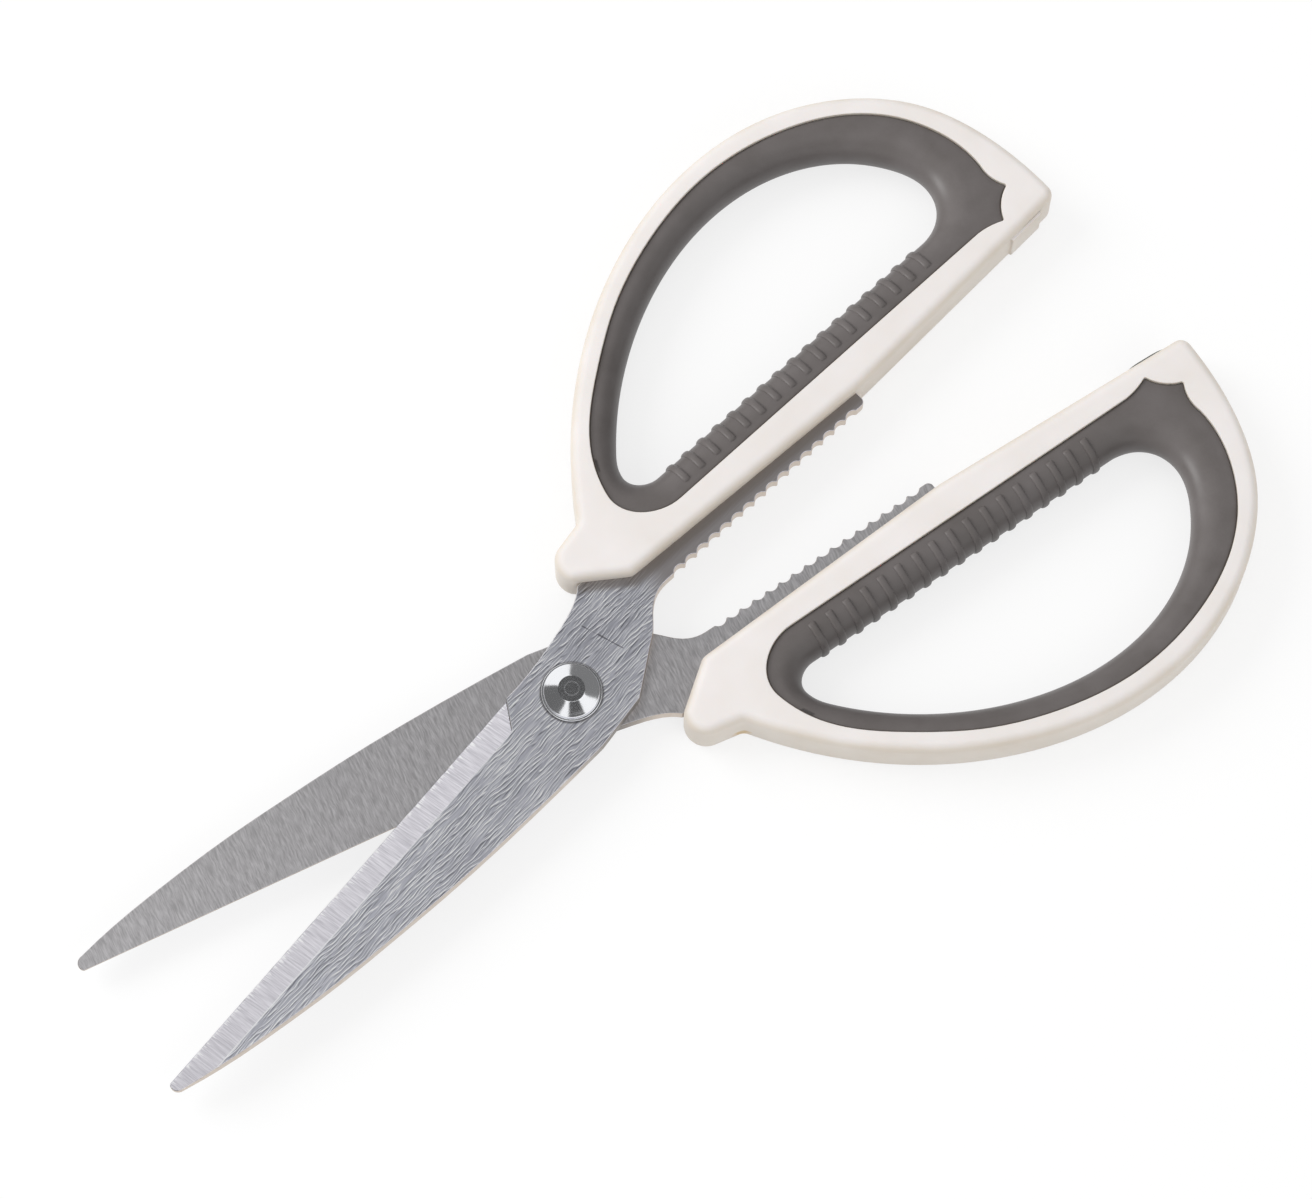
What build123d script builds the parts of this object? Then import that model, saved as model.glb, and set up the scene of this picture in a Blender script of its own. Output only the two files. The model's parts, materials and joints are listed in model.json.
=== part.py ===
from build123d import *
import os
from math import cos, radians, sin

os.makedirs("parts", exist_ok=True)

# Kitchen shears, opened a little and lying on a table at Z = 0, in millimetres.
# X runs from the blade tips to the handles. The back half is the front half turned
# over about X. Each half is drawn in a plane of its own: its origin is the pivot, its
# X runs along the handle, its Y points away from the other handle, and its Z points
# from the face where the blades meet to the outer face of the blade.

# How the shears lie
pivot_x = -13.2
handle_angle = 4.0
blade_angles = {"front": 6.45, "back": 8.95}

# Steel stampings
steel_thickness = 2.3
blade_gap = 0.05
blade_length = 89.0
cut_start = 8.0
heel_depth = 6.8
tip_width = 2.3
tip_inset = 0.4
spine_height = 9.7
bevel_width = 4.4
bevel_land = 0.35
bevel_start_angle = 40
shoulder_back = 7.0
shoulder_height = 8.3
neck_x = 16.6
neck_depth = 1.3
shank_edge_x = 5.1
shank_edge_y = 8.9
tang_front_x = 12.8
tang_front_y = 12.5
tang_back_x = 23.5
tang_offset = 9.9
pin_hole_diameter = 2.2
pin_hole_offset = 8.2

# Toothed jaw strips beside the handles
jaw_start = 24.0
jaw_length = 44.2
jaw_offset = 3.4
jaw_end_round = 1.0
tooth_pitch = 2.55
tooth_count = 16
tooth_radius = 1.35
tooth_depth = 0.6

# Handles of hard plastic
handle_thickness = 9.6
handle_round = 1.7
wall_front_offset = 7.5
wall_waist_offset = 5.6
wall_end_offset = 7.9
band_width = 3.95
bow_band = 3.25
end_band = 5.7
shell_corner_x = 20.2
lug_corner_x = 12.5
lug_corner_y = 13.2
lug_front = 11.9
lug_front_y = 16.2
lug_top_x = 14.6
lug_top_y = 18.9
notch_x = 19.6
notch_y = 19.9
corner_round = 1.9

# Rubber grips
grip_front = 26.2
grip_length = 83.8
grip_height = 37.95
grip_recess = 0.45
grip_wall = 4.75
grip_pad = 5.9
grip_heel = 7.9
grip_edge_round = 3.8
crown_round = 0.35
tongue_thickness = 3.0
tongue_cover = 2.2
rib_width = 1.15
rib_proud = 0.32
rib_pitch = 3.37
rib_margin = 2.5
rib_inset = 1.3
rib_end_round = 0.5

# Stop between the handle ends
stop_inset = 3.9
stop_length = 6.9
stop_height = 6.4
stop_proud = 0.5
stop_depth = 1.6

# Pivot rivet with its washer and burr plate
shank_diameter = 5.0
pivot_clearance = 0.05
head_diameter = 9.1
head_height = 2.25
head_rim = 0.45
head_disc_diameter = 4.3
head_dish = 0.45
washer_diameter = 9.8
washer_thickness = 0.4
burr_diameter = 9.4
burr_thickness = 0.5
tail_diameter = 7.6
tail_height = 1.15

# Worked out from the sizes above
half_thickness = handle_thickness / 2
grip_base = wall_front_offset + band_width
grip_top = grip_base + grip_height
handle_end = grip_front + grip_length + end_band
bow_top = grip_top + bow_band
hole_front = grip_front + grip_wall
hole_base = grip_base + grip_pad
hole_length = grip_length - grip_wall - grip_heel
hole_height = grip_height - grip_pad - grip_wall
grip_half_thickness = half_thickness - grip_recess
jaw_end = jaw_start + jaw_length
blade_top = blade_gap / 2 + steel_thickness

# Curves as shares of their sizes: along the length first, then across the height.
# The spine and the bow are measured from the pivot, the other curves from their own corner.
spine_shares = ((0.9, 0.4), (0.79, 0.583), (0.67, 0.74), (0.54, 0.853), (0.4, 0.945), (0.22, 1.0))
bow_shares = ((0.26, 0.62), (0.35, 0.782), (0.485, 0.933), (0.65, 1.0), (0.785, 0.952),
              (0.885, 0.83), (0.955, 0.655), (0.989, 0.455), (1.0, 0.27))
grip_curve_shares = ((0.999, 0.225), (0.999, 0.344), (0.979, 0.51), (0.94, 0.662), (0.885, 0.785),
                     (0.76, 0.932), (0.583, 1.0), (0.405, 0.94), (0.285, 0.838), (0.165, 0.672),
                     (0.047, 0.44), (0.0, 0.22))
hole_curve_shares = ((0.921, 0.011), (0.95, 0.042), (0.985, 0.13), (1.0, 0.28), (0.97, 0.507), (0.9, 0.728),
                     (0.76, 0.935), (0.58, 1.0), (0.41, 0.925), (0.27, 0.775), (0.13, 0.535),
                     (0.035, 0.3), (0.007, 0.2), (0.0, 0.145))
crown_shares = ((0.927, -0.012), (0.952, -0.033), (0.974, 0.036), (1.008, 0.078), (0.997, 0.144))
spine_end_share = 0.03
grip_straight_shares = (0.099, 0.895)
hole_straight_shares = (0.057, 0.895)
round_corner_share = 0.552
edge_wall_share = 0.97
pin_hole_shares = (0.32, 0.6, 0.88)

# As many ribs as the straight side of the grip takes
rib_first = hole_front + hole_straight_shares[0] * hole_length + rib_margin
rib_last = hole_front + hole_straight_shares[1] * hole_length - rib_margin
rib_count = 1 + int((rib_last - rib_first) / rib_pitch)


# A half's own plane, where side is 1 for the front half and -1 for the back half.
def half_plane(side):
    turn = radians(handle_angle)
    return Plane(origin=(pivot_x, 0, half_thickness), x_dir=(cos(turn), side * sin(turn), 0), z_dir=(0, 0, side))


def curve_points(shares, start, size):
    return [(start[0] + size[0] * along, start[1] + size[1] * across) for along, across in shares]


# The round corner, nearly a quarter of an ellipse, that leads a curve smoothly into a straight side's start.
def corner_points(curve, side_start):
    drop = round_corner_share * ((curve @ 1).Y - side_start[1])
    run = round_corner_share * (side_start[0] - (curve @ 1).X)
    return [curve @ 1, curve @ 1 + curve % 1 * drop, (side_start[0] - run, side_start[1]), side_start]


# A point given along the blade from the pivot to the tip and across it to the spine.
def on_blade(lean, along, across):
    turn = radians(lean)
    return (across * sin(turn) - along * cos(turn), -along * sin(turn) - across * cos(turn))


def steel_outline(lean, hole_diameter):
    heel = on_blade(lean, cut_start, -heel_depth)
    tip_cut = on_blade(lean, blade_length - tip_inset, -tip_inset)
    tip_end = on_blade(lean, blade_length, tip_width / 3)
    tip_spine = on_blade(lean, blade_length - tip_width / 2, tip_width - tip_inset)
    spine = [on_blade(lean, *point) for point in curve_points(spine_shares, (0, 0), (blade_length, spine_height))]
    spine_end = on_blade(lean, spine_end_share * blade_length, spine_height)
    shoulder = on_blade(lean, -shoulder_back, shoulder_height)
    neck = (neck_x, -neck_depth)
    jaw_corner = (jaw_start, jaw_offset)
    edge_direction = (-cos(radians(lean)), -sin(radians(lean)))
    with BuildSketch() as outline:
        with BuildLine():
            Line(heel, tip_cut)
            ThreePointArc(tip_cut, tip_end, tip_spine)
            Spline(tip_spine, *spine, spine_end)
            Polyline(spine_end, shoulder, neck)
            Spline(neck, jaw_corner, tangents=[(1, 1), (1, 0)])
            Polyline(jaw_corner, (jaw_end, jaw_offset), (jaw_end, tang_offset), (grip_front + grip_wall, tang_offset),
                     (tang_back_x, tang_front_y), (tang_front_x, tang_front_y))
            Spline((tang_front_x, tang_front_y), (shank_edge_x, shank_edge_y), heel,
                   tangents=[(-1, -1), edge_direction])
        make_face()
        fillet(outline.vertices().sort_by(Axis.X)[-2:], radius=jaw_end_round)
        for tooth in range(tooth_count):
            centre = jaw_end - 2 * jaw_end_round - (tooth + 0.5) * tooth_pitch
            with Locations((centre, jaw_offset - tooth_radius + tooth_depth)):
                Circle(tooth_radius, mode=Mode.SUBTRACT)
        for share in pin_hole_shares:
            with Locations((jaw_start + share * jaw_length, pin_hole_offset)):
                Circle(pin_hole_diameter / 2, mode=Mode.SUBTRACT)
        Circle(hole_diameter / 2, mode=Mode.SUBTRACT)
    return outline.sketch


# The wedge that grinding takes off the outer face along the cutting edge.
def bevel_wedge(lean):
    heel = on_blade(lean, cut_start, -heel_depth)
    tip = on_blade(lean, blade_length - tip_inset, -tip_inset)
    along = Vector(tip[0] - heel[0], tip[1] - heel[1], 0)
    section = Plane(origin=(heel[0], heel[1], blade_gap / 2), x_dir=along.rotate(Axis.Z, 90), z_dir=along)
    with BuildPart() as wedge:
        with BuildSketch(section):
            with BuildLine():
                Polyline((-bevel_width, bevel_land), (0, bevel_land), (bevel_width, steel_thickness),
                         (bevel_width, steel_thickness * 2), (-bevel_width, steel_thickness * 2), close=True)
            make_face()
        extrude(amount=blade_length)
        start = Plane(origin=(heel[0], heel[1], 0), z_dir=along.rotate(Axis.Z, -bevel_start_angle))
        split(bisect_by=start, keep=Keep.TOP)
    return wedge.part


def handle_outline():
    shell_corner = (shell_corner_x, wall_front_offset)
    lug_corner = (lug_corner_x, lug_corner_y)
    lug_top = (lug_top_x, lug_top_y)
    notch = (notch_x, notch_y)
    handle_corner = (handle_end, wall_end_offset)
    with BuildSketch() as outline:
        with BuildLine():
            Polyline(lug_corner, shell_corner, (jaw_end, wall_waist_offset), handle_corner)
            Spline(handle_corner, *curve_points(reversed(bow_shares), (0, 0), (handle_end, bow_top)), notch)
            Line(notch, lug_top)
            ThreePointArc(lug_top, (lug_front, lug_front_y), lug_corner)
        make_face()
        for corner in (shell_corner, lug_corner, notch, handle_corner):
            fillet(outline.vertices().sort_by_distance(corner)[0], radius=corner_round)
    return outline.sketch


# The rubber's outer edge, which ends in a small two-pointed crown near the handle's end.
def grip_outline():
    corner = (grip_front, grip_base)
    size = (grip_length, grip_height)
    start, end = [(grip_front + share * grip_length, grip_base) for share in grip_straight_shares]
    flare, near_tip, valley, far_tip, back_flare = curve_points(crown_shares, corner, size)
    curve = curve_points(grip_curve_shares, corner, size)
    with BuildSketch() as outline:
        with BuildLine():
            Line(start, end)
            ThreePointArc(end, flare, near_tip)
            ThreePointArc(near_tip, valley, far_tip)
            ThreePointArc(far_tip, back_flare, curve[0])
            back = Spline(*curve)
            Bezier(*corner_points(back, start))
        make_face()
        for tip in (near_tip, far_tip):
            fillet(outline.vertices().sort_by_distance(tip)[0], radius=crown_round)
    return outline.sketch


# The finger hole, or with a margin the wider ring inside the rubber that the tongue reaches.
def hole_outline(margin):
    corner = (hole_front - margin, hole_base - margin)
    size = (hole_length + 2 * margin, hole_height + 2 * margin)
    start, end = [(corner[0] + share * size[0], corner[1]) for share in hole_straight_shares]
    curve = curve_points(hole_curve_shares, corner, size)
    with BuildSketch() as outline:
        with BuildLine():
            Line(start, end)
            back = Spline(end, *curve)
            Bezier(*corner_points(back, start))
        make_face()
    return outline.sketch


# One rib over the rounded straight side of a grip, seen along the handle. Its slot takes the tongue.
def rib_section():
    reach = grip_pad - rib_inset + rib_proud
    height = 2 * (grip_half_thickness + rib_proud)
    slot = grip_pad - rib_inset - tongue_cover
    with BuildSketch() as section:
        with Locations((hole_base + rib_proud - reach / 2, 0)):
            Rectangle(reach, height)
        fillet(section.vertices().group_by(Axis.X)[-1], radius=grip_edge_round + rib_proud)
        fillet(section.vertices().group_by(Axis.X)[0], radius=rib_end_round)
        with Locations((hole_base - tongue_cover - slot / 2, 0)):
            Rectangle(slot, tongue_thickness, mode=Mode.SUBTRACT)
    return section.sketch


# The middle of the stop, on the wall between the jaw strip's end and the handle's end.
def stop_place(plane):
    middle = handle_end - stop_inset - stop_length / 2
    slope = (wall_end_offset - wall_waist_offset) / (handle_end - jaw_end)
    wall = wall_waist_offset + (middle - jaw_end) * slope
    across = wall - stop_proud + stop_depth / 2
    direction = plane.x_dir + plane.y_dir * slope
    return Plane(origin=plane.from_local_coords((middle, across, 0)), x_dir=direction, z_dir=(0, 0, 1))


for name, side in (("front", 1), ("back", -1)):
    plane = half_plane(side)
    lean = blade_angles[name] - handle_angle
    # Only the front half turns on the rivet, so only its hole has running clearance.
    hole_diameter = shank_diameter + (2 * pivot_clearance if side > 0 else 0)

    with BuildPart() as blade:
        with BuildSketch(plane.offset(blade_gap / 2)):
            add(steel_outline(lean, hole_diameter))
        extrude(amount=steel_thickness)
        add(plane * bevel_wedge(lean), mode=Mode.SUBTRACT)
    blade.part.label = name + "_blade"
    export_step(blade.part, f"parts/{name}_blade.step")

    with BuildPart() as grip:
        with BuildSketch(plane.offset(-grip_half_thickness)):
            add(grip_outline())
            add(hole_outline(0), mode=Mode.SUBTRACT)
        extrude(amount=2 * grip_half_thickness)
        hole_edges = [edge for face in grip.faces().filter_by(Axis.Z) for edge in face.inner_wires()[0].edges()]
        thinnest_wall = grip_outline().wire().distance_to(hole_outline(0).wire())
        fillet(hole_edges, radius=min(grip_edge_round, edge_wall_share * thinnest_wall))
        with BuildSketch(plane.offset(-tongue_thickness / 2)):
            add(grip_outline())
            add(hole_outline(tongue_cover), mode=Mode.SUBTRACT)
        extrude(amount=tongue_thickness, mode=Mode.SUBTRACT)
        stations = [plane.from_local_coords((rib_first + rib * rib_pitch, 0, 0)) for rib in range(rib_count)]
        with BuildSketch(*[Plane(origin=station, x_dir=plane.y_dir, z_dir=plane.x_dir) for station in stations]):
            add(rib_section())
        extrude(amount=rib_width / 2, both=True)
    grip.part.label = name + "_grip"
    export_step(grip.part, f"parts/{name}_grip.step")

    with BuildPart() as handle:
        with BuildSketch(plane.offset(-half_thickness)):
            add(handle_outline())
        extrude(amount=handle_thickness)
        fillet(handle.edges().group_by(Axis.Z)[0] + handle.edges().group_by(Axis.Z)[-1], radius=handle_round)
        with BuildSketch(plane.offset(-handle_thickness)):
            add(grip_outline())
        extrude(amount=2 * handle_thickness, mode=Mode.SUBTRACT)
        with BuildSketch(plane.offset(-tongue_thickness / 2)):
            add(grip_outline())
            add(hole_outline(tongue_cover), mode=Mode.SUBTRACT)
        extrude(amount=tongue_thickness)
        add(blade.part, mode=Mode.SUBTRACT)
        # The front handle's stop is moulded on it, the back handle has a pocket for its bumper.
        with BuildSketch(stop_place(plane)):
            Rectangle(stop_length, stop_depth)
        extrude(amount=stop_height / 2, both=True, mode=Mode.ADD if side > 0 else Mode.SUBTRACT)
    handle.part.label = name + "_handle"
    export_step(handle.part, f"parts/{name}_handle.step")

with BuildPart() as stop_bumper:
    with BuildSketch(stop_place(half_plane(-1))):
        Rectangle(stop_length, stop_depth)
    extrude(amount=stop_height / 2, both=True)
stop_bumper.part.label = "stop_bumper"
export_step(stop_bumper.part, "parts/stop_bumper.step")

pivot_axis = Axis((pivot_x, 0, 0), (0, 0, 1))
section_plane = Plane(origin=(pivot_x, 0, half_thickness), x_dir=(1, 0, 0), z_dir=(0, -1, 0))
head_base = blade_top + blade_gap + washer_thickness
tail_base = -blade_top - burr_thickness

with BuildPart() as pivot_rivet:
    with BuildSketch(section_plane):
        with BuildLine():
            TangentArc((0, head_base + head_height), (head_diameter / 2, head_base + head_rim), tangent=(1, 0))
            Polyline((head_diameter / 2, head_base + head_rim), (head_diameter / 2, head_base),
                     (shank_diameter / 2, head_base), (shank_diameter / 2, tail_base),
                     (tail_diameter / 2, tail_base))
            TangentArc((0, tail_base - tail_height), (tail_diameter / 2, tail_base), tangent=(1, 0))
            Line((0, tail_base - tail_height), (0, head_base + head_height))
        make_face()
    revolve(axis=pivot_axis)
    with BuildSketch(Plane(origin=(pivot_x, 0, half_thickness + head_base + head_height))):
        Circle(head_disc_diameter / 2)
    extrude(amount=-head_dish, mode=Mode.SUBTRACT)
pivot_rivet.part.label = "pivot_rivet"
export_step(pivot_rivet.part, "parts/pivot_rivet.step")

with BuildPart() as rivet_washer:
    with BuildSketch(section_plane):
        with Locations(((washer_diameter + shank_diameter) / 4, blade_top + blade_gap + washer_thickness / 2)):
            Rectangle((washer_diameter - shank_diameter) / 2, washer_thickness)
    revolve(axis=pivot_axis)
rivet_washer.part.label = "rivet_washer"
export_step(rivet_washer.part, "parts/rivet_washer.step")

with BuildPart() as rivet_burr:
    with BuildSketch(section_plane):
        with Locations(((burr_diameter + shank_diameter) / 4, tail_base + burr_thickness / 2)):
            Rectangle((burr_diameter - shank_diameter) / 2, burr_thickness)
    revolve(axis=pivot_axis)
rivet_burr.part.label = "rivet_burr"
export_step(rivet_burr.part, "parts/rivet_burr.step")
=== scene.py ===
import json
from math import atan2, cos, hypot, pi, radians, sin

import bmesh
import bpy
import numpy as np
from mathutils import Matrix, Vector


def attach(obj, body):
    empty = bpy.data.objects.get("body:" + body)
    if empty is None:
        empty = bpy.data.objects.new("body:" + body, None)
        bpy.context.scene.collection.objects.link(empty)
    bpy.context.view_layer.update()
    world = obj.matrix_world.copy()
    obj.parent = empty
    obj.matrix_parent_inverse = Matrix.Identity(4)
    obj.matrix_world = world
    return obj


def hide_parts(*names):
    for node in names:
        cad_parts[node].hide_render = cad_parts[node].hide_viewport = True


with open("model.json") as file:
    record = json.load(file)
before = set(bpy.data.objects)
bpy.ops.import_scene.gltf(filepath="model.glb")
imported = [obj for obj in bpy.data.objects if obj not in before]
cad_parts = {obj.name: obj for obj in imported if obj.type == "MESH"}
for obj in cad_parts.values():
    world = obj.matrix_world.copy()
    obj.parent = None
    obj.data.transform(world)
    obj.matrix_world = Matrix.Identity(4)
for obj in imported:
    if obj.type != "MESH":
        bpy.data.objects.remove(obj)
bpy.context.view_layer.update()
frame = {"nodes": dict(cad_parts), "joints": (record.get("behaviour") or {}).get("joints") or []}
print("frame loaded:", ", ".join(sorted(frame["nodes"])))

mm = 0.001
pivot = Vector(frame["joints"][0]["pos_m"])
halfSides = {"front": 1, "back": -1}

# How the two halves lie on the table, in degrees from the row's X axis, as the solids do
lay = dict(handleAngle=4.0, edgeAngle={"front": 10.99, "back": 13.49})

camera = dict(
    azimuth=-39.1, elevation=72.5, distance=0.802, lens=136.1,
    lookAt=(pivot.x + 21.62 * mm, 5.33 * mm, 0),
)


# Carries a half's own drawing, whose X runs along its handle, to its place on the table
def halfMatrix(side):
    turn = radians(lay["handleAngle"])
    xAxis = Vector((cos(turn), side * sin(turn), 0))
    zAxis = Vector((0, 0, side))
    place = Matrix((xAxis, zAxis.cross(xAxis), zAxis)).transposed().to_4x4()
    place.translation = pivot
    return place


def toLinear(hexColour):
    channels = [int(hexColour[i:i + 2], 16) / 255 for i in (1, 3, 5)]
    return [c / 12.92 if c <= 0.04045 else ((c + 0.055) / 1.055) ** 2.4 for c in channels] + [1]


# Adds a node: settings are its properties, wires are its inputs, each a value or a socket to link from
def addNode(tree, kind, settings=None, wires=None):
    node = tree.nodes.new(kind)
    for key, value in (settings or {}).items():
        setattr(node, key, value)
    for key, value in (wires or {}).items():
        if isinstance(value, bpy.types.NodeSocket):
            tree.links.new(value, node.inputs[key])
        else:
            node.inputs[key].default_value = value
    return node


def startMaterial(name, fixed):
    material = bpy.data.materials.new(name)
    material.use_nodes = True
    tree = material.node_tree
    tree.nodes.clear()
    shader = addNode(tree, "ShaderNodeBsdfPrincipled", wires=fixed)
    addNode(tree, "ShaderNodeOutputMaterial", wires={"Surface": shader.outputs["BSDF"]})
    return material, tree, shader


# A ramp through the given stops, each a place on the incoming value and a grey or a hex colour
def addRamp(tree, value, *stops):
    ramp = addNode(tree, "ShaderNodeValToRGB", wires={"Fac": value})
    elements = ramp.color_ramp.elements
    for i, (place, colour) in enumerate(stops):
        element = elements[i] if i < 2 else elements.new(1)
        element.position = place
        element.color = toLinear(colour) if isinstance(colour, str) else (colour, colour, colour, 1)
    return ramp.outputs["Color"]


# Noise whose grains are length by width by height, in metres, on the given coordinates. It runs from 0
# to 1, or centred from -0.5 to 0.5
def addGrain(tree, coordinates, grain, detail=2, roughness=0.5, centred=False):
    stretched = addNode(tree, "ShaderNodeMapping", wires={
        "Vector": coordinates, "Scale": [1 / size for size in grain]})
    noise = addNode(tree, "ShaderNodeTexNoise", wires={
        "Vector": stretched.outputs["Vector"], "Scale": 1, "Detail": detail, "Roughness": roughness,
    }).outputs["Fac"]
    return compute(tree, "SUBTRACT", noise, 0.5) if centred else noise


def mixValues(tree, factor, first, second, kind="FLOAT"):
    slots = {"FLOAT": (2, 3, 0), "RGBA": (6, 7, 2)}[kind]
    mix = addNode(tree, "ShaderNodeMix", {"data_type": kind}, {0: factor, slots[0]: first, slots[1]: second})
    return mix.outputs[slots[2]]


def compute(tree, operation, *values):
    return addNode(tree, "ShaderNodeMath", {"operation": operation}, dict(enumerate(values))).outputs[0]


# Stainless steel, stamped. Its outer face is ground lengthwise and shows long wavy ground lines, each with a painted
# highlight and painted shade; its bevel is ground straight across and is brighter, and its inner face has a fine cross
# satin. The sides are left as sheared, and their warm tone is a painted reflection of the table
def steelMaterial(name, side, half):
    steel = dict(
        grooves=(dict(spacing=0.62 * mm, lean=0.12, strength=1.15),
                 dict(spacing=0.43 * mm, lean=-0.03, strength=0.85)),
        grooveProfile=((0.0, 0.5), (0.12, 1.0), (0.26, 0.55), (0.44, 0.2), (0.66, 0.5)),
        grooveDrift=(7 * mm, 2.4 * mm, 7 * mm), driftTurns=3.2,
        grooveRun=(4.5 * mm, 0.75 * mm, 4.5 * mm), runEase=(0.4, 0.53),
        streak=(5 * mm, 0.25 * mm, 5 * mm), streakShare=0.4,
        broad=(12 * mm, 2.2 * mm, 12 * mm), broadShare=0.35,
        satin=(0.3 * mm, 2.6 * mm, 2.6 * mm), satinWave=0.3 * mm, mottle=(2.2 * mm,) * 3,
        bevelGrind=(0.22 * mm, 5 * mm, 5 * mm), edgeTick=(0.34 * mm, 6 * mm, 6 * mm),
        tickLength=1.3 * mm, tickLevel=0.42, tickEase=0.9 * mm, edgeOffset=7.41 * mm,
        stripStart=22 * mm, stripEase=3 * mm, stripShare=0.8, reliefDepth=0.012 * mm,
        flatTones=("#888991", "#CCCDD7", "#FFFFFF"), innerTones=("#B4B2B4", "#D8D6D8"),
        # The near-white edge colour is the tone of the bright grinding ticks, and a painted highlight on the ridge
        # between flat and bevel
        bevelTones=("#C4C2C9", "#ECEAF0"), tickAndRidgeHighlight="#F8F8FA", stripTone="#9C9592",
        # The sheared sides' warm tone is a painted reflection of the table, and near the pivot they are painted
        # darker, a painted shade where the blades lap
        sheared="#CFC2B5", lappedSideShade="#4B4845", lappedShadeReach=15 * mm,
        # A painted shadow round the washer
        washerShadowRing=(5.42 * mm, 5.85 * mm), washerShadow="#4A4744", washerShadowShare=0.8,
        # The next colour is a painted shade, laid in a band along the shell's front edge
        stainAndShade="#8B837D", shellShadowWidth=1.9 * mm, shellShadowShare=0.75, shellShadowWander=0.6 * mm,
        shellEdge=((12.5, 13.2), (20.2, 7.5), (68.2, 5.6)),
        scratch=((-4.98 * mm, 7.61 * mm), (-2.2 * mm, 0.61 * mm)), scratchWidth=0.11 * mm,
        scratchWander=0.5 * mm, scratchTone="#6A6A70", scratchShare=0.75,
    )
    material, tree, shader = startMaterial(name, {"Metallic": 1.0})
    place = addNode(tree, "ShaderNodeTexCoord").outputs["Object"]
    turn = side * radians(side * 180 + lay["edgeAngle"][half])
    alongBlade = addNode(tree, "ShaderNodeMapping", {"vector_type": "TEXTURE"}, {
        "Vector": place, "Location": pivot, "Rotation": (0, 0, turn)}).outputs["Vector"]
    alongHandle = addNode(tree, "ShaderNodeMapping", {"vector_type": "TEXTURE"}, {
        "Vector": place, "Location": pivot, "Rotation": (0, 0, side * radians(lay["handleAngle"]))}).outputs["Vector"]
    bladeParts = addNode(tree, "ShaderNodeSeparateXYZ", wires={"Vector": alongBlade})
    handleParts = addNode(tree, "ShaderNodeSeparateXYZ", wires={"Vector": alongHandle})

    def step(value, low, high):
        return addNode(tree, "ShaderNodeMapRange", {"interpolation_type": "SMOOTHSTEP"}, {
            "Value": value, "From Min": low, "From Max": high}).outputs["Result"]

    def within(value, low, high):
        above = compute(tree, "GREATER_THAN", value, low)
        return compute(tree, "MULTIPLY", above, compute(tree, "LESS_THAN", value, high))

    # Hand grinding wanders, so the satin is shifted sideways by a slow noise
    def waved(grain, amount):
        shift = compute(tree, "MULTIPLY", addGrain(tree, alongBlade, grain, centred=True), amount * 2)
        sideways = addNode(tree, "ShaderNodeCombineXYZ", wires={"X": shift, "Y": shift})
        return addNode(tree, "ShaderNodeVectorMath", {"operation": "ADD"}, {
            0: alongBlade, 1: sideways.outputs["Vector"]}).outputs["Vector"]

    # Grooves side by side, from -0.5 to 0.5, that run out and start again as a grinding belt leaves them. Each is a
    # light line with a dark one beside it, which is the groove's painted highlight and painted shade
    def addGrooves(groove):
        lean = compute(tree, "MULTIPLY", bladeParts.outputs["X"], groove["lean"])
        leaned = compute(tree, "ADD", bladeParts.outputs["Y"], lean)
        drift = compute(tree, "MULTIPLY", addGrain(tree, alongBlade, steel["grooveDrift"]), steel["driftTurns"])
        across = compute(tree, "ADD", compute(tree, "DIVIDE", leaned, groove["spacing"]), drift)
        profile = addRamp(tree, compute(tree, "FRACT", across), *steel["grooveProfile"])
        # Each set of grooves reads its own part of the noise
        elsewhere = addNode(tree, "ShaderNodeVectorMath", {"operation": "ADD"}, {
            0: alongBlade, 1: [groove["spacing"] * 100] * 3}).outputs["Vector"]
        absent, full = steel["runEase"]
        present = addRamp(tree, addGrain(tree, elsewhere, steel["grooveRun"]), (absent, 0.0), (full, 1.0))
        amount = compute(tree, "MULTIPLY", compute(tree, "SUBTRACT", profile, 0.5), present)
        return compute(tree, "MULTIPLY", amount, groove["strength"])

    lines = compute(tree, "ADD", *(addGrooves(groove) for groove in steel["grooves"]))
    for grain, share, detail in ((steel["streak"], steel["streakShare"], 2), (steel["broad"], steel["broadShare"], 1)):
        soft = addGrain(tree, alongBlade, grain, detail=detail, centred=True)
        lines = compute(tree, "ADD", lines, compute(tree, "MULTIPLY", soft, share))
    # Past the shell's front the jaw strip's lines are fainter, and on the front blade it is darker
    isStrip = step(handleParts.outputs["X"], steel["stripStart"] - steel["stripEase"],
                   steel["stripStart"] + steel["stripEase"])
    onStrip = compute(tree, "MULTIPLY", isStrip, steel["stripShare"])
    lines = compute(tree, "MULTIPLY", lines, compute(tree, "SUBTRACT", 1.0, onStrip))
    tone = compute(tree, "ADD", lines, 0.5)
    satin = addGrain(tree, waved(steel["mottle"], steel["satinWave"]), steel["satin"], detail=3, roughness=0.65)
    grind = addGrain(tree, alongBlade, steel["bevelGrind"], detail=3, roughness=0.6)
    # Where a surface faces tells the finish: flat, bevel, the ridge between them, inner face or sheared side
    normal = addNode(tree, "ShaderNodeSeparateXYZ", wires={
        "Vector": addNode(tree, "ShaderNodeNewGeometry").outputs["True Normal"]}).outputs["Z"]
    height = compute(tree, "MULTIPLY", normal, float(side))
    isInner = compute(tree, "LESS_THAN", height, -0.8)
    isBevel = within(height, 0.85, 0.97)
    isRidge = within(height, 0.94, 0.997)
    isSheared = compute(tree, "LESS_THAN", compute(tree, "ABSOLUTE", height), 0.5)
    # The flat's darkest and lightest tones are painted shade and painted highlight along the grooves, over the ground
    # streaks' own tone
    darkTone, middleTone, lightTone = steel["flatTones"]
    flat = addRamp(tree, tone, (0.12, darkTone), (0.5, middleTone), (0.9, lightTone))
    if side > 0:
        flat = mixValues(tree, onStrip, flat, toLinear(steel["stripTone"]), "RGBA")
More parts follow.
